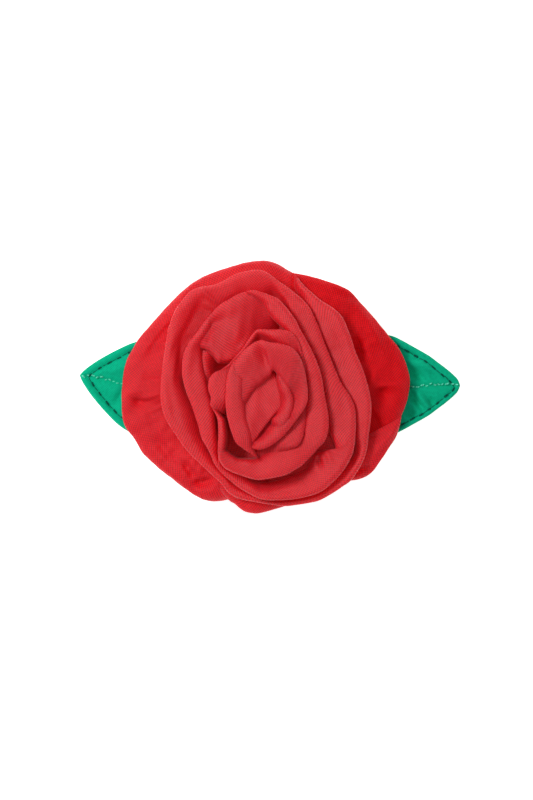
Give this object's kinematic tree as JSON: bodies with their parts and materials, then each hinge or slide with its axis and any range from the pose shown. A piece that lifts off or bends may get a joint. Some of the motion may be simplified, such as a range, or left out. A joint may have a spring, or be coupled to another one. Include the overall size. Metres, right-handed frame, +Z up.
{
  "type": "flower hair clip",
  "caption": "Rolled fabric rose with stitched leaves on a sprung two-arm hair clip; squeezing the finger tabs opens the toothed jaw.",
  "frame": {"origin": "on the plane the clip rests on, below the centre of the outline seen from above", "axes": "+Z up out of the flower's face, +X along the leaves and the clip from the left leaf to the right leaf, +Y to the flower's top edge"},
  "size_m": [0.0954, 0.0631, 0.0343],
  "materials": {
    "petal_fabric": "coral red crepe",
    "leaf_fabric": "jade green woven cloth",
    "dark_thread": "dark green sewing thread",
    "pale_thread": "mint and green twisted thread",
    "felt": "red felt",
    "canvas": "stiff undyed canvas",
    "nickel_steel": "nickel-plated spring steel"
  },
  "bodies": {
    "flower": {"rose_bud": "petal_fabric", "rose_turn_1_outer": "petal_fabric", "rose_turn_2": "petal_fabric", "rose_turn_3": "petal_fabric", "rose_turn_4": "petal_fabric", "rose_turn_5": "petal_fabric", "base_petal_left": "petal_fabric", "base_petal_right": "petal_fabric", "base_petal_bottom": "petal_fabric", "left_leaf_front_panel": "leaf_fabric", "left_leaf_back_panel": "leaf_fabric", "left_leaf_edge_thread": "dark_thread", "left_leaf_vein_thread": "pale_thread", "right_leaf_front_panel": "leaf_fabric", "right_leaf_back_panel": "leaf_fabric", "right_leaf_edge_thread": "dark_thread", "right_leaf_vein_thread": "pale_thread", "sewing_base_disc": "canvas", "felt_backing_disc": "felt", "clip_keeper_strap": "felt", "clip_upper_arm": "nickel_steel", "hinge_pin": "nickel_steel", "torsion_spring": "nickel_steel"},
    "lower_jaw": {"clip_lower_arm": "nickel_steel"}
  },
  "joints": [
    {"name": "jaw_hinge", "type": "hinge", "parent": "flower", "child": "lower_jaw", "pos_m": [0.009, 0, 0.0062], "axis": [0, -1, 0], "range_deg": [0, 28], "stiffness_Nm_per_rad": 0.06, "springref_deg": -28.65, "deforming": ["torsion_spring"]}
  ]
}
